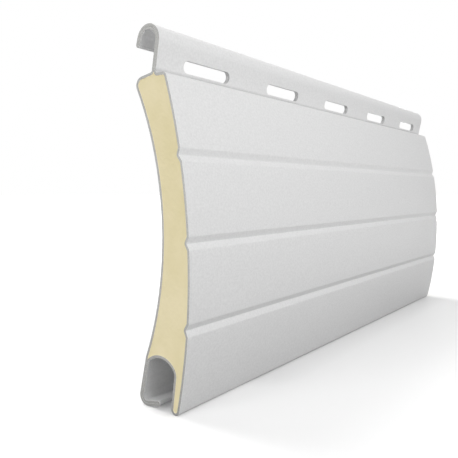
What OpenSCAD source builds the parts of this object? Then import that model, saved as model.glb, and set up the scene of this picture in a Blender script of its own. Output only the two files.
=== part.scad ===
// Foam-filled slat of an exterior roller shutter, cut to a short sample length and standing on its foot.
// One aluminium strip is roll-formed into the whole skin. Both edges of the strip lie in the lip of the hook
// at the top, one folded round the other. The strip is hemmed double at the foot, and hard foam fills the
// space between front and back face.
// The section is drawn with u towards the front face and z up: u = 0 is the back plane, z = 0 the foot.

/* [Slat] */
// Length of the cut slat
slat_len = 100; // [40:1:300]
// Height that one slat covers, from the foot to the root of the neck
cover_h = 45; // [41:0.5:50]
// Overall thickness, from the back plane to the crown of the front face
slat_t = 9.5; // [8.6:0.1:10.4]

/* [Aluminium strip] */
// Thickness of the lacquered strip
skin_t = 0.35; // [0.25:0.01:0.45]
// Film of lacquer between two layers that are folded flat on each other
lap_gap = 0.04; // [0.02:0.01:0.08]

/* [Front face] */
// Radius of the front face
front_r = 84; // [76:1:120]
// Distance of the crown of the front face below the middle of the covered height
crown_low = 3.5; // [0:0.5:6]
// Number of shadow grooves in the front face
groove_n = 3; // [1:1:3]
// Height of the lowest groove
groove_z = 11.7; // [8:0.1:14]
// Spacing of the grooves
groove_pitch = 11.2; // [6:0.1:13]
// Width of a groove
groove_w = 1.8; // [1.2:0.1:2.4]
// Depth of a groove
groove_d = 0.45; // [0.2:0.05:0.6]
// Bend radius of the strip at the edges and in the bottom of a groove
groove_r = 0.4; // [0.3:0.05:0.6]

/* [Back face] */
// Distance of the deepest point of the hollow back face above the middle of the covered height
hollow_high = 1.2; // [0.4:0.1:2]
// Depth of the hollow back face behind the back plane
hollow_d = 4.6; // [3.8:0.1:5.6]
// Outer radius of the shoulder above the hollow
shoulder_r = 1.1; // [0.8:0.05:1.5]
// Fall of the roof from the neck to the shoulder, in degrees
roof_fall = 9.5; // [4:0.5:14]

/* [Neck and hook] */
// Distance of the root of the neck from the back plane
neck_u = 3.35; // [3:0.05:3.8]
// Forward lean of the neck, in degrees
neck_lean = 10.5; // [6:0.5:14]
// Air-side radius at the root of the neck
root_r = 0.3; // [0.2:0.05:0.4]
// Depth of the front ledge below the root of the neck
ledge_drop = 0.3; // [0.1:0.05:0.6]
// Outer radius between the front ledge and the front face
ledge_r = 0.7; // [0.5:0.05:0.9]
// Height of the hook above the root of the neck
hook_h = 6.2; // [5.8:0.1:7]
// Outer radius of the hook
hook_r = 2.1; // [1.7:0.05:2.3]
// Angle by which the lip of the hook spreads from upright
hook_splay = 16; // [10:1:24]
// Length of the lip of the hook, from the end of the hook's arc to its tip
hook_lip = 1.2; // [0.8:0.1:1.6]

/* [Light slots] */
// Spacing of the slots along the slat
slot_pitch = 20; // [14:1:30]
// Length of a slot over its round ends
slot_len = 10; // [6:0.5:12]
// Height of a slot
slot_h = 1.7; // [1:0.1:1.9]
// Distance of the middle of a slot above the root of the neck
slot_rise = 1.5; // [1.4:0.05:1.9]

/* [Channel and foot] */
// Inner radius of the channel that takes the hook of the next slat
channel_r = 3.1; // [2.9:0.05:3.4]
// Distance of the channel's axis behind the middle of the thickness
channel_back = 0.75; // [0.55:0.05:0.95]
// Distance below the bend of the back wall at which the arch of the channel leaves it
arch_drop = 0.4; // [0.2:0.1:1]
// Bend radius of the strip where the arch of the channel leaves the back wall
arch_foot_r = 0.6; // [0.4:0.05:0.9]
// Bend radius of the strip where the arch of the channel runs into the web behind the nose
arch_web_r = 1.6; // [1.2:0.1:2]
// Lean of the channel's back wall, in degrees
wall_lean = 13; // [10:0.5:15]
// Bend radius of the strip where the back face runs into the channel's wall
wall_bend_r = 2; // [1:0.5:4]
// Outer radius of the hem's bend under the back wall
hem_r = 1.3; // [1.1:0.05:1.6]
// Reach of the hem's lip from the back plane
hem_reach = 3.9; // [3.3:0.1:4.2]
// Rise of the hem's lip towards its tip, in degrees
hem_rise = 12; // [0:1:14]
// Outer radius of the nose under the front face
nose_r = 0.72; // [0.6:0.02:0.85]
// Lean of the web between the nose and the arch, in degrees
web_lean = 8; // [5:0.5:11]

/* [Hidden] */

// Largest distance between a facet and the true arc, and the largest turn of one facet
arc_tol = 0.004;
facet_turn = 12;
// A corner that turns less than this is a facet of an arc
least_bend = 5;
slot_fn = 48;

// Unit vector at angle a, and the angle of a vector
function ray(a) = [cos(a), sin(a)];
function angle_of(v) = atan2(v[1], v[0]);

// The same list from its end to its start
function reversed(v) = [for (i = [len(v) - 1 : -1 : 0]) v[i]];

// Points of an arc about c from angle a to angle b, ends included
function arc(c, r, a, b) =
    let (facet = min(facet_turn, 2 * acos(1 - arc_tol / r)))
    let (n = max(1, ceil(abs(b - a) / facet)))
    [for (i = [0 : n]) c + r * ray(a + (b - a) * i / n)];

// Arc of radius r that turns heading a into heading b at the corner p
function bend(p, a, b, r) =
    let (turn = (b - a + 540) % 360 - 180)
    let (hand = sign(turn))
    let (c = p - r * tan(abs(turn) / 2) * ray(a) + hand * r * ray(a + 90))
    arc(c, r, a - 90 * hand, a - 90 * hand + turn);

// Point where the line from p at angle a crosses the line from q at angle b
function crossing(p, a, q, b) =
    let (across = ray(b + 90))
    p + ray(a) * ((q - p) * across) / (ray(a) * across);

// Last point at distance r from c on the line from p at angle a
function last_at(p, a, c, r) =
    let (v = p - c)
    let (along = v * ray(a))
    p + ray(a) * (sqrt(along * along - v * v + r * r) - along);

// Path p with each corner rounded to radius r, arcs left as they are
function eased(p, r) = [
    for (i = [0 : len(p) - 1])
        let (a = angle_of(p[max(i, 1)] - p[max(i, 1) - 1]))
        let (b = angle_of(p[min(i, len(p) - 2) + 1] - p[min(i, len(p) - 2)]))
        each abs(b - a) < least_bend ? [p[i]] : bend(p[i], a, b, r)
];

// Heading of the step that leaves point i of path p
function heading(p, i) = (p[i + 1] - p[i]) / norm(p[i + 1] - p[i]);

// Path p moved by d to the left of its travel
function beside(p, d) =
    let (end = len(p) - 1)
    [
        for (i = [0 : end])
            let (m = heading(p, max(i - 1, 0)) + heading(p, min(i, end - 1)))
            p[i] + 2 * d * [-m[1], m[0]] / (m * m)
    ];

// Distance from the middle of a folded pair to the middle of each of its layers and to its faces
lap = (skin_t + lap_gap) / 2;
pair = skin_t + lap_gap / 2;

// Neck and hook: the two layers run up the neck and round the hook side by side
neck_a = 90 - neck_lean;
neck_root = [neck_u, cover_h];
hook_z = cover_h + hook_h - hook_r;
hook_mid_r = hook_r - pair;
hook_axis = neck_root + hook_mid_r * ray(neck_a + 90);
hook_c = crossing(hook_axis, neck_a, [0, hook_z], 0);

// Lip of the hook: the outer layer is folded round the edge of the inner one, which locks the two
lip_a = 270 - hook_splay;
lip_out = ray(lip_a - 90);
fold_r = 2 * lap_gap;
fold_mid_r = fold_r + skin_t / 2;
fold_c = hook_c + (hook_mid_r + lap - fold_mid_r) * lip_out + (hook_lip - fold_r - skin_t) * ray(lip_a);
inner_edge = hook_c + (hook_mid_r - lap) * lip_out + (hook_lip - skin_t - lap_gap) * ray(lip_a);
outer_edge = hook_c + (hook_mid_r - pair) * lip_out + (hook_lip - skin_t / 2) * ray(lip_a);

// Arc of one layer over the top of the hook, the outer one for side = 1 and the inner one for side = -1
function hook_arc(side) = arc(hook_c, hook_mid_r + side * lap, neck_a - 90, lip_a - 90);

// Roof and shoulder behind the neck
roof_a = 180 + roof_fall;
roof_mid = neck_root - skin_t / 2 * ray(roof_a - 90);
shoulder_mid_r = shoulder_r - skin_t / 2;
shoulder_c = crossing(roof_mid - shoulder_mid_r * ray(roof_a - 90), roof_a, [shoulder_r, 0], 90);
back_root = crossing(neck_root + lap * ray(neck_a + 90), neck_a, roof_mid, roof_a);
root_mid_r = root_r + skin_t / 2;

// Hollow back face: its radius makes it run into the shoulder without a corner
hollow_z = cover_h / 2 + hollow_high;
hollow_rise = shoulder_c[1] - hollow_z;
back_r = (hollow_rise * hollow_rise + hollow_d * hollow_d) / (2 * hollow_d) - shoulder_r;
back_c = [hollow_d - back_r, hollow_z];
back_mid_r = back_r + skin_t / 2;
shoulder_a = angle_of(shoulder_c - back_c);

// Back wall of the channel, two layers thick down to the hem
wall_a = 270 - wall_lean;
wall_out = ray(wall_a - 90);
hem_c = [hem_r, hem_r];
hem_mid_r = hem_r - pair;
outer_wall = hem_c + (hem_mid_r + lap) * wall_out;
wall_bend_c = last_at(outer_wall - wall_bend_r * wall_out, wall_a, back_c, back_mid_r + wall_bend_r);
wall_bend_a = angle_of(wall_bend_c - back_c);

// Hem: the strip turns under the wall to a lip and folds back on itself at the tip
hem_turn = 270 + hem_rise;
hem_tip = crossing(hem_c + hem_mid_r * ray(hem_turn), hem_rise, [hem_reach - pair, 0], 90);

// Nose: the strip turns round it from the web of the channel into the front face
crown_z = cover_h / 2 - crown_low;
front_c = [slat_t - front_r, crown_z];
front_mid_r = front_r - skin_t / 2;
nose_drop = crown_z - nose_r;
nose_c = [front_c[0] + sqrt(pow(front_r - nose_r, 2) - nose_drop * nose_drop), nose_r];
nose_mid_r = nose_r - skin_t / 2;
nose_a = angle_of(nose_c - front_c);
web_a = 270 - web_lean;
web_back = ray(web_a - 90);

// Arch of the channel between the back wall and the web: its foot lies just below the bend of the wall
arch_r = channel_r + skin_t / 2;
wall_foot = wall_bend_c + wall_bend_r * wall_out + arch_drop * ray(wall_a);
arch_foot_c = wall_foot - (2 * lap + arch_foot_r) * wall_out;
channel_u = slat_t / 2 - channel_back;
arch_lead = channel_u - arch_foot_c[0];
channel_c = [channel_u, arch_foot_c[1] - sqrt(pow(arch_r - arch_foot_r, 2) - arch_lead * arch_lead)];
arch_web_c = last_at(
    nose_c + (nose_mid_r + arch_web_r) * web_back, web_a - 180, channel_c, arch_r - arch_web_r
);
arch_from = angle_of(arch_foot_c - channel_c);
arch_to = angle_of(arch_web_c - channel_c);

// Ledge between the front face and the neck
ledge_z = cover_h - ledge_drop;
ledge_rise = ledge_z - ledge_r - crown_z;
ledge_c = [front_c[0] + sqrt(pow(front_r - ledge_r, 2) - ledge_rise * ledge_rise), ledge_z - ledge_r];
ledge_mid = [0, ledge_z - skin_t / 2];
ledge_a = angle_of(ledge_c - front_c);
front_root = crossing(neck_root - lap * ray(neck_a + 90), neck_a, ledge_mid, 180);

// Angle on the front face at height z, and the stretch of plain face below groove i
function front_a(z) = asin((z - crown_z) / front_mid_r);
function groove_mid(i) = groove_z + i * groove_pitch;
function front_leg(i) =
    arc(
        front_c, front_mid_r,
        i == 0 ? nose_a : front_a(groove_mid(i - 1) + groove_w / 2),
        i == groove_n ? ledge_a : front_a(groove_mid(i) - groove_w / 2)
    );
function groove_bottom(i) = front_c + (front_mid_r - groove_d) * ray(front_a(groove_mid(i)));
front_face = [
    for (i = [0 : groove_n])
        each concat(front_leg(i), i < groove_n ? [groove_bottom(i)] : [])
];

// The strip from the edge of its inner layer in the hook to the edge of its outer one, in five runs
hook_in = concat([inner_edge], reversed(hook_arc(-1)));
back_run = concat(
    bend(back_root, neck_a + 180, roof_a, root_mid_r),
    arc(shoulder_c, shoulder_mid_r, roof_a - 90, shoulder_a + 180),
    arc(back_c, back_mid_r, shoulder_a, wall_bend_a),
    arc(wall_bend_c, wall_bend_r, wall_bend_a + 180, wall_a - 90),
    [wall_foot]
);
hem_run = concat(
    arc(hem_c, hem_mid_r + lap, wall_a - 90, hem_turn),
    arc(hem_tip, lap, hem_rise - 90, hem_rise + 90),
    arc(hem_c, hem_mid_r - lap, hem_turn, wall_a - 90)
);
front_run = concat(
    arc(arch_foot_c, arch_foot_r, wall_a - 90, arch_from),
    arc(channel_c, arch_r, arch_from, arch_to),
    arc(arch_web_c, arch_web_r, arch_to, web_a - 270),
    arc(nose_c, nose_mid_r, web_a - 90, nose_a + 360),
    eased(front_face, groove_r),
    arc(ledge_c, ledge_r - skin_t / 2, ledge_a, 90),
    bend(front_root, 180, neck_a, root_mid_r)
);
hook_out = concat(hook_arc(1), arc(fold_c, fold_mid_r, lip_a - 90, lip_a), [outer_edge]);

// Points where one run ends on the spot where the next arc starts are kept once
function joined(p) = [for (i = [0 : len(p) - 1]) if (i == 0 || norm(p[i] - p[i - 1]) > arc_tol / 10) p[i]];

back_side = joined(back_run);
front_side = joined(front_run);
hem = joined(hem_run);
strip = concat(hook_in, back_side, hem, front_side, hook_out);
foam_face = beside(strip, skin_t / 2);
air_face = beside(strip, -skin_t / 2);
back_from = len(hook_in);
hem_from = back_from + len(back_side);
front_from = hem_from + len(hem);
hook_from = front_from + len(front_side);

skin_outline = concat(foam_face, reversed(air_face));
foam_outline = [
    for (i = [back_from : hook_from - 1])
        if (i < hem_from || i >= front_from) foam_face[i]
];

slot_n = floor(slat_len / slot_pitch);
slot_mid = neck_root + slot_rise * ray(neck_a);
// A slot's cutter passes both layers of the neck with room on each side
slot_cut = 4 * pair;

// A section outline run along the whole slat, with its front face towards -Y
module lengthwise(outline) {
    rotate([90, 0, -90])
        translate([-slat_t / 2, 0, -slat_len / 2])
            linear_extrude(slat_len)
                polygon(outline);
}

// Opening of light slot i, square to the neck
module light_slot(i) {
    translate([(i - (slot_n - 1) / 2) * slot_pitch, slat_t / 2 - slot_mid[0], slot_mid[1]])
        rotate([90 + neck_lean, 0, 0])
            linear_extrude(slot_cut, center = true) {
                square([slot_len - slot_h, slot_h], center = true);
                for (end = [-1, 1])
                    translate([end * (slot_len - slot_h) / 2, 0])
                        circle(d = slot_h, $fn = slot_fn);
            }
}

// Roll-formed strip of lacquered aluminium
module aluminium_skin() {
    color("#d9d9d7")
        difference() {
            lengthwise(skin_outline);
            for (i = [0 : slot_n - 1])
                light_slot(i);
        }
}

// Hard polyurethane foam between the front and the back face
module foam_core() {
    color("#dfd5ad")
        lengthwise(foam_outline);
}

aluminium_skin();
foam_core();
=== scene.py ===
import math

import bmesh
import bpy
import numpy as np
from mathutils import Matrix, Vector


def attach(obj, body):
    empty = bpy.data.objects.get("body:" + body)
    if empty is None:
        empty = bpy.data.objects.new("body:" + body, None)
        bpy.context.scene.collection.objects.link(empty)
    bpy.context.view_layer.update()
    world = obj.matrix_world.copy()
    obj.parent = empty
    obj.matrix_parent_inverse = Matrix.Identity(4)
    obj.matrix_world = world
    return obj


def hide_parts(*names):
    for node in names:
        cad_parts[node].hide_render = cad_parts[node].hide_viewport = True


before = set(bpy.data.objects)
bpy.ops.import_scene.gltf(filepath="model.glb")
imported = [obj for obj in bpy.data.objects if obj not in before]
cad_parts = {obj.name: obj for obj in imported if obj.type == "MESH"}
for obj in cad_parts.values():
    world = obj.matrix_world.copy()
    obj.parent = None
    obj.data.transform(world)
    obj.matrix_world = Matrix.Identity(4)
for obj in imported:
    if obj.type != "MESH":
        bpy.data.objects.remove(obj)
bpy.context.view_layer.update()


# Aluminium skin: one coil-coated strip, 0.35 mm thick, that roll-forming bends into the whole section.
# Both edges of the strip lie in the hook's lip, one folded round the other, the foot is hemmed double, and
# the slots are punched through both layers of the neck. Only the sawn ends show bare metal.

# Sizes in millimetres and degrees
slat_len, cover_h, slat_t = 100.0, 45.0, 9.5
skin_t, lap_gap = 0.35, 0.015
front_r, crown_low = 84.0, 3.5
groove_n, groove_z, groove_pitch, groove_w, groove_d, groove_r = 3, 11.7, 11.2, 1.8, 0.45, 0.4
hollow_high, hollow_d, shoulder_r, roof_fall = 1.2, 4.6, 1.1, 9.5
neck_u, neck_lean, root_r, ledge_drop, ledge_r = 3.35, 10.5, 0.3, 0.3, 0.7
hook_h, hook_r, hook_splay, hook_lip = 6.2, 2.1, 16.0, 1.2
slot_pitch, slot_len, slot_h, slot_rise = 20.0, 10.0, 1.7, 1.5
channel_r, channel_back, arch_drop, arch_foot_r, arch_web_r = 3.1, 0.75, 0.4, 0.6, 1.6
wall_lean, wall_bend_r, hem_r, hem_reach, hem_rise = 13.0, 2.0, 1.3, 3.9, 12.0
nose_r, web_lean = 0.72, 8.0
burr_r, edge_w = 0.012, 0.02
arc_turn, arc_step, same_point = 5.0, 1.6, 1e-4


def ray(a):
    """Unit vector at angle a of the section, as a complex number: real part to the front, imaginary up."""
    return np.exp(1j * np.radians(a))


def turn_of(v):
    """Angle of the vector v in degrees."""
    return math.degrees(np.angle(v))


def arc(c, r, a, b):
    """Centre plus radius times the unit vector, for evenly spaced angles from a to b. Neighbours are at most
    the largest turn and the largest step apart."""
    n = int(max(abs(b - a) / arc_turn, math.radians(abs(b - a)) * r / arc_step)) + 2
    return c + r * ray(np.linspace(a, b, n))


def bend(p, a, b, r):
    """Arc of radius r that turns heading a into heading b at the corner p and is tangent to both: its centre
    lies back from p by r times the tangent of half the turn, and r to the side."""
    turn = (b - a + 540) % 360 - 180
    hand = math.copysign(1, turn)
    c = p - r * math.tan(math.radians(abs(turn) / 2)) * ray(a) + hand * r * ray(a + 90)
    return arc(c, r, a - 90 * hand, a - 90 * hand + turn)


def crossing(p, a, q, b):
    """Point where the line from p at angle a meets the line from q at angle b: p moves along its ray by the
    distance across to the other line, over the ray's own part across."""
    across = ray(b + 90)
    return p + ray(a) * ((q - p) * across.conj()).real / (ray(a) * across.conj()).real


def last_at(p, a, c, r):
    """Far point at distance r from c on the line from p at angle a, from the quadratic for that distance."""
    along = ((p - c) * ray(a).conj()).real
    return p + ray(a) * (math.sqrt(along ** 2 - abs(p - c) ** 2 + r * r) - along)


# Middle line of the strip from the edge of its inner layer in the hook to the edge of its outer one. A
# folded pair has its layers at lap from its own middle and its faces at pair.
lap, pair = (skin_t + lap_gap) / 2, skin_t + lap_gap / 2

neck_a = 90 - neck_lean
neck_root = neck_u + 1j * cover_h
hook_mid_r = hook_r - pair
hook_c = crossing(neck_root + hook_mid_r * ray(neck_a + 90), neck_a, 1j * (cover_h + hook_h - hook_r), 0)
lip_a = 270 - hook_splay
lip_out = ray(lip_a - 90)
fold_r = 2 * lap_gap
fold_mid_r = fold_r + skin_t / 2
fold_c = hook_c + (hook_mid_r + lap - fold_mid_r) * lip_out + (hook_lip - fold_r - skin_t) * ray(lip_a)
inner_edge = hook_c + (hook_mid_r - lap) * lip_out + (hook_lip - skin_t - lap_gap) * ray(lip_a)
outer_edge = hook_c + (hook_mid_r - pair) * lip_out + (hook_lip - skin_t / 2) * ray(lip_a)

roof_a = 180 + roof_fall
roof_mid = neck_root - skin_t / 2 * ray(roof_a - 90)
shoulder_mid_r = shoulder_r - skin_t / 2
shoulder_c = crossing(roof_mid - shoulder_mid_r * ray(roof_a - 90), roof_a, shoulder_r, 90)
back_root = crossing(neck_root + lap * ray(neck_a + 90), neck_a, roof_mid, roof_a)
root_mid_r = root_r + skin_t / 2

hollow_z = cover_h / 2 + hollow_high
hollow_rise = shoulder_c.imag - hollow_z
back_r = (hollow_rise ** 2 + hollow_d ** 2) / (2 * hollow_d) - shoulder_r
back_c = hollow_d - back_r + 1j * hollow_z
back_mid_r = back_r + skin_t / 2
shoulder_a = turn_of(shoulder_c - back_c)

wall_a = 270 - wall_lean
wall_out = ray(wall_a - 90)
hem_c = hem_r * (1 + 1j)
hem_mid_r = hem_r - pair
wall_line = hem_c + (hem_mid_r + lap - wall_bend_r) * wall_out
wall_bend_c = last_at(wall_line, wall_a, back_c, back_mid_r + wall_bend_r)
wall_bend_a = turn_of(wall_bend_c - back_c)
hem_turn = 270 + hem_rise
hem_tip = crossing(hem_c + hem_mid_r * ray(hem_turn), hem_rise, hem_reach - pair, 90)

crown_z = cover_h / 2 - crown_low
front_c = slat_t - front_r + 1j * crown_z
front_mid_r = front_r - skin_t / 2
nose_c = front_c.real + math.sqrt((front_r - nose_r) ** 2 - (crown_z - nose_r) ** 2) + 1j * nose_r
nose_mid_r = nose_r - skin_t / 2
nose_a = turn_of(nose_c - front_c)
web_a = 270 - web_lean

arch_r = channel_r + skin_t / 2
wall_foot = wall_bend_c + wall_bend_r * wall_out + arch_drop * ray(wall_a)
arch_foot_c = wall_foot - (2 * lap + arch_foot_r) * wall_out
channel_u = slat_t / 2 - channel_back
arch_sink = math.sqrt((arch_r - arch_foot_r) ** 2 - (channel_u - arch_foot_c.real) ** 2)
channel_c = channel_u + 1j * (arch_foot_c.imag - arch_sink)
web_line = nose_c + (nose_mid_r + arch_web_r) * ray(web_a - 90)
arch_web_c = last_at(web_line, web_a - 180, channel_c, arch_r - arch_web_r)
arch_from, arch_to = turn_of(arch_foot_c - channel_c), turn_of(arch_web_c - channel_c)

ledge_z = cover_h - ledge_drop
ledge_rise = ledge_z - ledge_r - crown_z
ledge_c = front_c.real + math.sqrt((front_r - ledge_r) ** 2 - ledge_rise ** 2) + 1j * (ledge_z - ledge_r)
ledge_a = turn_of(ledge_c - front_c)
front_root = crossing(neck_root - lap * ray(neck_a + 90), neck_a, 1j * (ledge_z - skin_t / 2), 180)


def front_angle(z):
    """Angle on the front face's circle at height z: the arc sine of the rise from the crown by the radius."""
    return math.degrees(math.asin((z - crown_z) / front_mid_r))


def grooved_front():
    """Circle of the front face, broken by each groove: down one straight flank and up the other, with the
    three corners of the V rounded."""
    runs, start = [], nose_a
    for mid in groove_z + groove_pitch * np.arange(groove_n):
        low, deep, high = (front_angle(mid + k * groove_w / 2) for k in (-1, 0, 1))
        edge_low, edge_high = front_c + front_mid_r * ray(low), front_c + front_mid_r * ray(high)
        bottom = front_c + (front_mid_r - groove_d) * ray(deep)
        flank_in, flank_out = turn_of(bottom - edge_low), turn_of(edge_high - bottom)
        first = bend(edge_low, low + 90, flank_in, groove_r)
        last = bend(edge_high, flank_out, high + 90, groove_r)
        runs += [arc(front_c, front_mid_r, start, turn_of(first[0] - front_c)), first]
        runs += [bend(bottom, flank_in, flank_out, groove_r), last]
        start = turn_of(last[-1] - front_c)
    return runs + [arc(front_c, front_mid_r, start, ledge_a)]


def joined(runs):
    """The runs end to end, with points that fall on the one before kept once."""
    p = np.concatenate(runs)
    return p[np.append(True, abs(np.diff(p)) > same_point)]


hook_in = np.append(inner_edge, arc(hook_c, hook_mid_r - lap, lip_a - 90, neck_a - 90))
hook_out = np.concatenate([
    arc(hook_c, hook_mid_r + lap, neck_a - 90, lip_a - 90),
    arc(fold_c, fold_mid_r, lip_a - 90, lip_a),
    [outer_edge + edge_w * lip_out, outer_edge],
])
back_side = joined([
    bend(back_root, neck_a + 180, roof_a, root_mid_r),
    arc(shoulder_c, shoulder_mid_r, roof_a - 90, shoulder_a + 180),
    arc(back_c, back_mid_r, shoulder_a, wall_bend_a),
    arc(wall_bend_c, wall_bend_r, wall_bend_a + 180, wall_a - 90),
    [wall_foot],
])
hem = joined([
    arc(hem_c, hem_mid_r + lap, wall_a - 90, hem_turn),
    arc(hem_tip, lap, hem_rise - 90, hem_rise + 90),
    arc(hem_c, hem_mid_r - lap, hem_turn, wall_a - 90),
])
channel_side = joined([
    arc(arch_foot_c, arch_foot_r, wall_a - 90, arch_from),
    arc(channel_c, arch_r, arch_from, arch_to),
    arc(arch_web_c, arch_web_r, arch_to, web_a - 270),
    arc(nose_c, nose_mid_r, web_a - 90, 270),
])
front_side = joined([
    arc(nose_c, nose_mid_r, 270, nose_a + 360),
    *grooved_front(),
    arc(ledge_c, ledge_r - skin_t / 2, ledge_a, 90),
    bend(front_root, 180, neck_a, root_mid_r),
])
strip = np.concatenate([hook_in, back_side, hem, channel_side, front_side[1:], hook_out])


def placed(x, w):
    """Points of the section w at the length x, in metres: x along the slat, front face towards -Y."""
    x, w = np.broadcast_arrays(x, w)
    return np.stack([x, slat_t / 2 - w.real, w.imag], -1).reshape(-1, 3) / 1000


def grid_quads(first, rows, cols):
    """Corner numbers of the quads between neighbours on a grid of points, counted row by row."""
    k = first + np.arange(rows * cols).reshape(rows, cols)
    return np.stack([k[:-1, :-1], k[:-1, 1:], k[1:, 1:], k[1:, :-1]], -1).reshape(-1, 4)


# A slot and the bit of neck around it: each point of the slot's outline, two half circles joined by
# straights, has its partner on the edge of a cell as long as the slot spacing. The narrow ring of faces next
# to the slot takes slot_lap, a share, of the way there.
round_n, flat_n, slot_lap, x_digits = 25, 4, 0.04, 6
slot_mid = neck_root + slot_rise * ray(neck_a)
slot_n = int(slat_len // slot_pitch)
slot_x = (np.arange(slot_n) - (slot_n - 1) / 2) * slot_pitch
half_flat, half_cell = (slot_len - slot_h) / 2, slot_pitch / 2
round_a = np.linspace(-90, 90, round_n)
flat_x = np.linspace(half_flat, -half_flat, flat_n)
corner_a = [-90, -45, 45, 90]
side_x = np.interp(round_a, corner_a, [half_flat, half_cell, half_cell, half_flat])
slot_in = np.concatenate([half_flat + slot_h / 2 * ray(round_a), flat_x[1:-1] + 0.5j * slot_h])
slot_edge = np.concatenate([slot_in, -slot_in])
cell_x = np.concatenate([side_x, flat_x[1:-1]])
cell_edge_x = np.concatenate([cell_x, -cell_x])
cell_up = np.interp(round_a, corner_a, [0, 0, 1, 1])
cell_edge_up = np.concatenate([cell_up, np.ones(flat_n - 2), 1 - cell_up, np.zeros(flat_n - 2)])
lines_x = np.unique(np.round(cell_edge_x[cell_edge_up == 0], x_digits))
rows_x = np.unique(np.round((slot_x[:, None] + lines_x).ravel(), x_digits))


def slotted_neck(a, b):
    """Flat neck from section point a to b. In each cell two rings of quads run from the slot's outline to
    the cell's edge, both given by the same turn around the slot, at shares of the way between them."""
    low, high = sorted(((p - slot_mid) * ray(neck_a).conj()).real for p in (a, b))
    on_line = (a - slot_mid) - ((a - slot_mid) * ray(neck_a).conj()).real * ray(neck_a)
    share = np.array([[0], [slot_lap], [1]])
    up = slot_edge.imag + share * (low + (high - low) * cell_edge_up - slot_edge.imag)
    along = slot_edge.real + share * (cell_edge_x - slot_edge.real)
    return along, slot_mid + on_line + up * ray(neck_a)


# Faces are marked for the edge beside them: lacquered in the lip, sawn at an end, punched in a slot
lip_coat, end_coat, slot_coat = 0, 1, 3
points, quads, coats, count = [], [], [], 0
neck_back = len(hook_in)
neck_front = len(strip) - len(hook_out)
for part in (strip[:neck_back], strip[neck_back:neck_front], strip[neck_front:]):
    points.append(placed(rows_x[None, :], part[:, None]))
    quads.append(grid_quads(count, len(part), len(rows_x)))
    coats.append(np.full((len(part) - 1, len(rows_x) - 1), end_coat, np.int32))
    count += len(points[-1])
coats[-1][-1] = lip_coat
for foot in (neck_back, neck_front):
    along, line = slotted_neck(strip[foot - 1], strip[foot])
    around = np.append(np.arange(along.shape[1]), 0)
    for x in slot_x:
        points.append(placed(x + along[:, around], line[:, around]))
        quads.append(grid_quads(count, len(along), len(around)))
        coats.append(np.repeat(np.array([slot_coat, end_coat], np.int32), len(around) - 1))
        count += len(points[-1])


# Points nearer than weld_gap, in metres, are one point, and an edge that turns by more than sharp_a is sharp
weld_gap, sharp_a = 2e-7, 60


def sheet_piece(name, points, quads, coats=None):
    """Mesh object at the origin from points and quads, with doubles merged and all faces turned one way. The
    coats, where given, are each face's material number."""
    mesh = bpy.data.meshes.new(name)
    mesh.from_pydata(np.concatenate(points), [], np.concatenate(quads))
    if coats:
        mesh.polygons.foreach_set("material_index", np.concatenate([c.ravel() for c in coats]))
    work = bmesh.new()
    work.from_mesh(mesh)
    bmesh.ops.remove_doubles(work, verts=work.verts, dist=weld_gap)
    bmesh.ops.recalc_face_normals(work, faces=work.faces)
    work.to_mesh(mesh)
    work.free()
    mesh.shade_smooth()
    piece = bpy.data.objects.new(name, mesh)
    bpy.context.scene.collection.objects.link(piece)
    return piece


skin = sheet_piece("aluminium_strip", points, quads, coats)
wall = skin.modifiers.new("strip_thickness", "SOLIDIFY")
wall.thickness, wall.offset, wall.use_even_offset = skin_t / 1000, 0, True
wall.material_offset_rim = 1
edge = skin.modifiers.new("cut_edges", "BEVEL")
edge.width, edge.segments = burr_r / 1000, 2
edge.limit_method, edge.angle_limit = "ANGLE", math.radians(sharp_a)
edge.use_clamp_overlap, edge.harden_normals = False, True


def linear(hex_colour):
    """sRGB hex to linear: the low end divided by 12.92, the rest by the 2.4 power curve."""
    c = np.array([int(hex_colour[k:k + 2], 16) for k in (1, 3, 5)]) / 255
    return (*np.where(c <= 0.04045, c / 12.92, ((c + 0.055) / 1.055) ** 2.4), 1)


def add(tree, kind, inputs=(), **settings):
    """Adds a node, sets its properties, then sets each named input or links it to the given output."""
    node = tree.nodes.new(kind)
    for key, value in settings.items():
        setattr(node, key, value)
    for key, value in dict(inputs).items():
        if isinstance(value, bpy.types.NodeSocket):
            tree.links.new(value, node.inputs[key])
        else:
            node.inputs[key].default_value = value
    return node


def blank_material(name):
    """Empty node material and its tree."""
    material = bpy.data.materials.new(name)
    material.use_nodes = True
    material.node_tree.nodes.clear()
    return material, material.node_tree


# Stoved polyurethane lacquer with fine hard grains, rolled on the flat strip: silky, off-white grey, with
# a speckle of about 0.3 mm that is drawn a little coarser than the real grains so that it shows. Painted
# shade greys the corner at the foot of the neck. Sizes in millimetres.
grain_size, grain_h, cloud_size = 0.3, 0.02, 12.0
painted_shade_near, painted_shade_far, painted_shade_dim = 0.6, 1.05, 0.7
lacquer, tree = blank_material("stoved_lacquer")
place = add(tree, "ShaderNodeTexCoord").outputs["Object"]
grain = add(tree, "ShaderNodeTexNoise", {
    "Vector": place, "Scale": 1000 / grain_size, "Detail": 2.0, "Roughness": 0.6,
})
cloud = add(tree, "ShaderNodeTexNoise", {"Vector": place, "Scale": 1000 / cloud_size, "Detail": 3.0})
tint = add(tree, "ShaderNodeValToRGB", {"Fac": grain.outputs["Fac"]})
tint.color_ramp.elements[0].position, tint.color_ramp.elements[1].position = 0.3, 0.7
tint.color_ramp.elements[0].color = linear("#dcdcdc")
tint.color_ramp.elements[1].color = linear("#e6e6e6")
silk = add(tree, "ShaderNodeMapRange", {"Value": cloud.outputs["Fac"], "To Min": 0.44, "To Max": 0.56})
# Painted shade: the lacquer's colour darkens towards the corner between the neck and the ledge
painted_shade_corner = (0, (front_root.real - slat_t / 2) / 1000, -front_root.imag / 1000)
apart = add(tree, "ShaderNodeVectorMath", {0: place, 1: (0, 1, 1), 2: painted_shade_corner}, operation="MULTIPLY_ADD")
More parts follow.
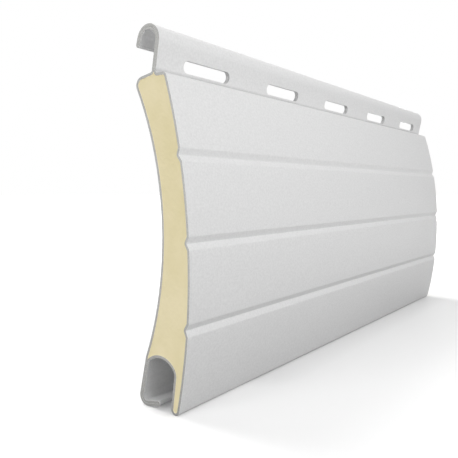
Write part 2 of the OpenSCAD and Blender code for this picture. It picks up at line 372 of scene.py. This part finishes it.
apart = add(tree, "ShaderNodeVectorMath", {0: apart.outputs["Vector"]}, operation="LENGTH")
painted_shade = add(tree, "ShaderNodeMapRange", {
    "Value": apart.outputs["Value"], "From Min": painted_shade_near / 1000, "From Max": painted_shade_far / 1000,
    "To Min": painted_shade_dim, "To Max": 1.0,
})
shaded_tint = add(tree, "ShaderNodeVectorMath", {0: tint.outputs["Color"], "Scale": painted_shade.outputs["Result"]},
            operation="SCALE")
relief = add(tree, "ShaderNodeBump", {
    "Height": grain.outputs["Fac"], "Strength": 0.25, "Distance": grain_h / 1000,
})
body = add(tree, "ShaderNodeBsdfPrincipled", {
    "Base Color": shaded_tint.outputs["Vector"], "Roughness": silk.outputs["Result"], "IOR": 1.5,
    "Normal": relief.outputs["Normal"],
})
add(tree, "ShaderNodeOutputMaterial", {"Surface": body.outputs["BSDF"]})

# Sawn aluminium: dull bare metal with fine, slightly smeared saw lines from front to back. They are saw_size
# millimetres wide, and saw_draw is their width over their length.
saw_size, saw_h, saw_draw = 0.15, 0.02, 0.08
bare, tree = blank_material("sawn_aluminium")
place = add(tree, "ShaderNodeTexCoord").outputs["Object"]
lines = add(tree, "ShaderNodeMapping", {"Vector": place, "Scale": (1, saw_draw, 1)})
saw = add(tree, "ShaderNodeTexNoise", {
    "Vector": lines.outputs["Vector"], "Scale": 1000 / saw_size, "Detail": 2.0,
})
tint = add(tree, "ShaderNodeValToRGB", {"Fac": saw.outputs["Fac"]})
tint.color_ramp.elements[0].position, tint.color_ramp.elements[1].position = 0.3, 0.7
tint.color_ramp.elements[0].color = linear("#8b8b89")
tint.color_ramp.elements[1].color = linear("#969694")
relief = add(tree, "ShaderNodeBump", {
    "Height": saw.outputs["Fac"], "Strength": 0.2, "Distance": saw_h / 1000,
})
body = add(tree, "ShaderNodeBsdfPrincipled", {
    "Base Color": tint.outputs["Color"], "Metallic": 1.0, "Roughness": 0.5,
    "Normal": relief.outputs["Normal"],
})
add(tree, "ShaderNodeOutputMaterial", {"Surface": body.outputs["BSDF"]})

# Drawn lacquer: the punch drags it over the sheared walls of the slots, so thin that the metal greys it
drawn = lacquer.copy()
drawn.name = "drawn_lacquer"
greyed = next(n for n in drawn.node_tree.nodes if n.bl_idname == "ShaderNodeValToRGB")
shades = greyed.color_ramp.elements
shades[0].color, shades[1].color = linear("#bcbcbc"), linear("#c8c8c8")

# A rim takes the material that follows its face's own: lacquer after lip_coat, bare metal after end_coat and
# drawn lacquer after slot_coat
for coat in (lacquer, lacquer, bare, lacquer, drawn):
    skin.data.materials.append(coat)
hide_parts("aluminium_skin")
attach(skin, "root")


# Foam core: hard polyurethane foam that rises between the faces while the strip is formed and bonds to it.
# It is sawn with the strip, so each end shows the fine cells that the blade opened, a hair below the metal.

# Sizes in millimetres, the seed of the cells, and the numbers of points along a rung
cell_size, cell_depth, saw_sink, cell_seed = 0.25, 0.03, 0.03, 7
rung_step, rung_gap, corner_n, nose_n = 0.17, 0.03, 13, 29


def offset(p, d):
    """Path p moved by d to its left: each point goes along the mean of its two steps' normals, so far that
    both steps move by d."""
    step = np.diff(p)
    step = step / abs(step)
    both = np.append(step[0], step) + np.append(step, step[-1])
    return p + 2j * d * both / abs(both) ** 2


def level(w):
    """Height of section points over a line that rises to the front at half the roof's slope, so that the
    foam's outline falls on both sides all the way down from its top."""
    return (w * ray(-roof_fall / 2)).imag


def at_level(run, stops):
    """Points of a falling run of the outline at given levels, on the straight steps between its points."""
    return np.interp(-stops, -level(run), run.real) + 1j * np.interp(-stops, -level(run), run.imag)


def rungs(left, right, top, bottom, share):
    """Section points on straight rungs between two falling runs, at their own levels and at even ones
    between, rounded to the least gap. Each rung is divided at the same shares."""
    stops = np.concatenate([level(left), level(right), np.arange(bottom, top, rung_step)])
    stops = np.unique(np.round(stops / rung_gap)) * rung_gap
    stops = stops[(stops > bottom + rung_gap) & (stops < top - rung_gap)]
    stops = np.concatenate([[top], stops[::-1], [bottom]])
    a, b = at_level(left, stops), at_level(right, stops)
    return a[:, None] + (b - a)[:, None] * share


# Outline of the foam in four falling runs: down the back face into the corner beside the channel, down the
# arch into that corner, down the arch's other side into the nose, and down the front face into the nose
inner = offset(strip, skin_t / 2)
hem_from = neck_back + len(back_side)
channel_from = hem_from + len(hem)
front_from = channel_from + len(channel_side)
arch_line = inner[channel_from:front_from]
crest_k = np.argmax(level(arch_line))
toe = np.concatenate([arch_line[crest_k:], inner[front_from:neck_front]])
toe_k = np.argmin(level(toe))
run_front, run_nose = toe[:toe_k - 1:-1], toe[:toe_k + 1]
run_back = np.append(run_front[0], inner[neck_back:hem_from])
run_arch = np.append(arch_line[crest_k:0:-1], run_back[-1])

# The rungs cross the whole section above the arch, and then the corner on one side and the nose on the other
crest = level(run_arch[0])
crest_back, crest_front = at_level(run_back, crest), at_level(run_front, crest)
split = abs(run_arch[0] - crest_back) / abs(crest_front - crest_back)
corner_share, nose_share = np.linspace(0, 1, corner_n), np.linspace(0, 1, nose_n)
whole_share = np.append(split * corner_share, split + (1 - split) * nose_share[1:])
whole = rungs(run_back, run_front, level(run_front[0]), crest, whole_share)
corner = rungs(run_back, run_arch, crest, level(run_back[-1]), corner_share)
nose = rungs(run_nose, run_front, crest, level(run_nose[-1]), nose_share)
outline = np.concatenate([
    whole[:, 0], corner[1:, 0], corner[-2::-1, -1], nose[1:, 0], nose[-2::-1, -1], whole[-2::-1, -1],
])


def sawn(w, seed):
    """Distance from the slat's middle to the cut foam at section points w: half the length, less the sink
    and the opened cells, whose depths are random on a lattice and blended from its four nearest points."""
    rows, cols = int((cover_h + hook_h) / cell_size), int(slat_t / cell_size) + 1
    lattice = np.random.default_rng(seed).random((rows, cols))
    i, j = w.imag / cell_size, w.real / cell_size
    a, b = i.astype(int), j.astype(int)
    s, t = i - a, j - b
    low = lattice[a, b] * (1 - t) + lattice[a, b + 1] * t
    high = lattice[a + 1, b] * (1 - t) + lattice[a + 1, b + 1] * t
    return slat_len / 2 - saw_sink - cell_depth * (low * (1 - s) + high * s)


points, quads, count = [], [], 0
for end, seed in ((-1, cell_seed), (1, cell_seed + 1)):
    for part in (whole, corner, nose):
        points.append(placed(end * sawn(part, seed), part))
        quads.append(grid_quads(count, *part.shape))
        count += part.size
points.append(placed(np.stack([-sawn(outline, cell_seed), sawn(outline, cell_seed + 1)]), outline))
quads.append(grid_quads(count, 2, len(outline)))
foam = sheet_piece("foam_filling", points, quads)
foam.data.set_sharp_from_angle(angle=math.radians(sharp_a))

# Rigid polyurethane foam: matt, pale straw yellow, a little uneven where cells are open or smeared, in
# patches of a few millimetres
smear_size = 4.0
core, tree = blank_material("rigid_pu_foam")
place = add(tree, "ShaderNodeTexCoord").outputs["Object"]
cell = add(tree, "ShaderNodeTexVoronoi", {"Vector": place, "Scale": 1000 / cell_size})
smear = add(tree, "ShaderNodeTexNoise", {"Vector": place, "Scale": 1000 / smear_size, "Detail": 3.0})
fleck = add(tree, "ShaderNodeValToRGB", {"Fac": smear.outputs["Fac"]})
fleck.color_ramp.elements[0].position, fleck.color_ramp.elements[1].position = 0.3, 0.7
fleck.color_ramp.elements[0].color = linear("#e4d8ad")
fleck.color_ramp.elements[1].color = linear("#ece0ba")
relief = add(tree, "ShaderNodeBump", {
    "Height": cell.outputs["Distance"], "Strength": 0.25, "Distance": cell_depth / 1000,
})
body = add(tree, "ShaderNodeBsdfPrincipled", {
    "Base Color": fleck.outputs["Color"], "Roughness": 0.9, "IOR": 1.45, "Normal": relief.outputs["Normal"],
})
add(tree, "ShaderNodeOutputMaterial", {"Surface": body.outputs["BSDF"]})
foam.data.materials.append(core)
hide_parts("foam_core")
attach(foam, "root")


# Studio: a pale table under the foot of the slat in a white room. A large soft lamp above and behind throws
# the shadow forward, two smaller ones light the face from in front of the near end, one lights each cut, and
# a low one shines into the channel.
table_r, ring_n = 3.0, 64
ring = table_r * ray(np.arange(ring_n) * 360 / ring_n)
mesh = bpy.data.meshes.new("table")
mesh.from_pydata(np.stack([ring.real, ring.imag, 0 * ring.real], -1), [], [np.arange(ring_n)])
table = bpy.data.objects.new("table", mesh)
bpy.context.scene.collection.objects.link(table)


def seen_directly(tree):
    """1 for rays from the eye, also by way of a mirror or glass, and 0 for rays that carry light."""
    ray_kind = add(tree, "ShaderNodeLightPath").outputs
    mirrored = add(tree, "ShaderNodeMath", {0: ray_kind["Is Camera Ray"], 1: ray_kind["Is Glossy Ray"]},
                   operation="MAXIMUM")
    through = add(tree, "ShaderNodeMath", {0: mirrored.outputs[0], 1: ray_kind["Is Transmission Ray"]},
                  operation="MAXIMUM")
    return through.outputs[0]


# Matt card that gives little light back to the slat. To the eye it is paler, fully white further away, and
# greyer in a narrow band of painted shadow along the foot. Distances, in metres, are from a line on the card
# under the slat, which stops short of the near end.
line_from, line_to = -0.028, slat_len / 2000
line_mid, line_half = ((line_from + line_to) / 2, 0, 0), ((line_to - line_from) / 2, 0, 0)
painted_shadow_near, painted_shadow_far, fade_near, fade_far = 0.003, 0.01, 0.03, 0.2
card, tree = blank_material("matt_card")
place = add(tree, "ShaderNodeTexCoord").outputs["Object"]
side = add(tree, "ShaderNodeVectorMath", {0: place, 1: line_mid}, operation="SUBTRACT")
side = add(tree, "ShaderNodeVectorMath", {0: side.outputs["Vector"]}, operation="ABSOLUTE")
side = add(tree, "ShaderNodeVectorMath", {0: side.outputs["Vector"], 1: line_half}, operation="SUBTRACT")
side = add(tree, "ShaderNodeVectorMath", {0: side.outputs["Vector"], 1: (0, 0, 0)}, operation="MAXIMUM")
away = add(tree, "ShaderNodeVectorMath", {0: side.outputs["Vector"]}, operation="LENGTH").outputs["Value"]
# Painted shadow: less glow in a narrow band along the foot of the slat, so the card is greyer there
foot = add(tree, "ShaderNodeMapRange", {
    "Value": away, "From Min": painted_shadow_near, "From Max": painted_shadow_far, "To Min": 0.06, "To Max": 0.155,
}, interpolation_type="SMOOTHSTEP")
lift = add(tree, "ShaderNodeMapRange", {
    "Value": away, "From Min": fade_near, "From Max": fade_far, "To Max": 0.85,
})
lift = add(tree, "ShaderNodeMath", {0: foot.outputs["Result"], 1: lift.outputs["Result"]}, operation="ADD")
glow = add(tree, "ShaderNodeEmission", {"Color": (1, 1, 1, 1), "Strength": lift.outputs["Value"]})
pale = add(tree, "ShaderNodeBsdfDiffuse", {"Color": linear("#eeeeee")})
dull = add(tree, "ShaderNodeBsdfDiffuse", {"Color": linear("#959595")})
shown = add(tree, "ShaderNodeAddShader", {0: pale.outputs["BSDF"], 1: glow.outputs["Emission"]})
pick = add(tree, "ShaderNodeMixShader", {
    "Fac": seen_directly(tree), 1: dull.outputs["BSDF"], 2: shown.outputs["Shader"],
})
add(tree, "ShaderNodeOutputMaterial", {"Surface": pick.outputs["Shader"]})
mesh.materials.append(card)

scene = bpy.context.scene
scene.world = bpy.data.worlds.new("white_room")
scene.world.use_nodes = True
tree = scene.world.node_tree
tree.nodes.clear()
room = add(tree, "ShaderNodeBackground", {"Color": (1, 1, 1, 1), "Strength": 0.49})
white = add(tree, "ShaderNodeBackground", {"Color": (1, 1, 1, 1), "Strength": 1.0})
pick = add(tree, "ShaderNodeMixShader", {
    "Fac": seen_directly(tree), 1: room.outputs["Background"], 2: white.outputs["Background"],
})
add(tree, "ShaderNodeOutputWorld", {"Surface": pick.outputs["Shader"]})


def aimed(obj, spot, azimuth, elevation, distance):
    """Puts an object at a distance from a spot, at that azimuth and elevation, looking back at it."""
    a, e = math.radians(azimuth), math.radians(elevation)
    back = Vector((math.sin(a) * math.cos(e), -math.cos(a) * math.cos(e), math.sin(e)))
    obj.location = Vector(spot) + back * distance
    obj.rotation_mode = "QUATERNION"
    obj.rotation_quaternion = (-back).to_track_quat("-Z", "Y")


# Spots on the slat that the lamps are aimed at, in metres
near_x, far_x = -slat_len / 2000, slat_len / 2000
middle, near_hook, near_channel = (0, 0, 0.03), (near_x, 0, 0.05), (near_x, 0, 0.01)
near_cut, far_cut = (near_x, 0, 0.025), (far_x, 0, 0.025)
for name, size, energy, spot, azimuth, elevation, distance in (
    ("back_lamp", 0.4, 3.2, middle, 180, 55, 0.8),
    ("near_lamp", 0.08, 0.066, near_hook, -4, 20, 0.13),
    ("front_lamp", 0.1, 0.072, near_hook, 25, 20, 0.2),
    ("end_lamp", 0.2, 0.7, near_cut, -106, 14, 0.45),
    ("low_lamp", 0.06, 0.1, near_channel, -72, 5, 0.3),
    ("far_lamp", 0.16, 1.0, far_cut, 106, 7, 0.45),
):
    lamp = bpy.data.lights.new(name, "AREA")
    lamp.shape, lamp.size, lamp.energy = "DISK", size, energy
    lamp_object = bpy.data.objects.new(name, lamp)
    scene.collection.objects.link(lamp_object)
    aimed(lamp_object, spot, azimuth, elevation, distance)

# Camera near the cut end, a little above the middle of the slat, and looking slightly down
eye, eye_azimuth, eye_elevation = (-0.09798, -0.04912, 0.02957), -51.57, 4.19
camera = bpy.data.cameras.new("camera")
camera.sensor_width, camera.lens = 36.0, 41.13
camera.clip_start = 0.002
camera_object = bpy.data.objects.new("camera", camera)
scene.collection.objects.link(camera_object)
aimed(camera_object, eye, eye_azimuth, eye_elevation, 0)
scene.camera = camera_object
scene.view_settings.view_transform = "Standard"
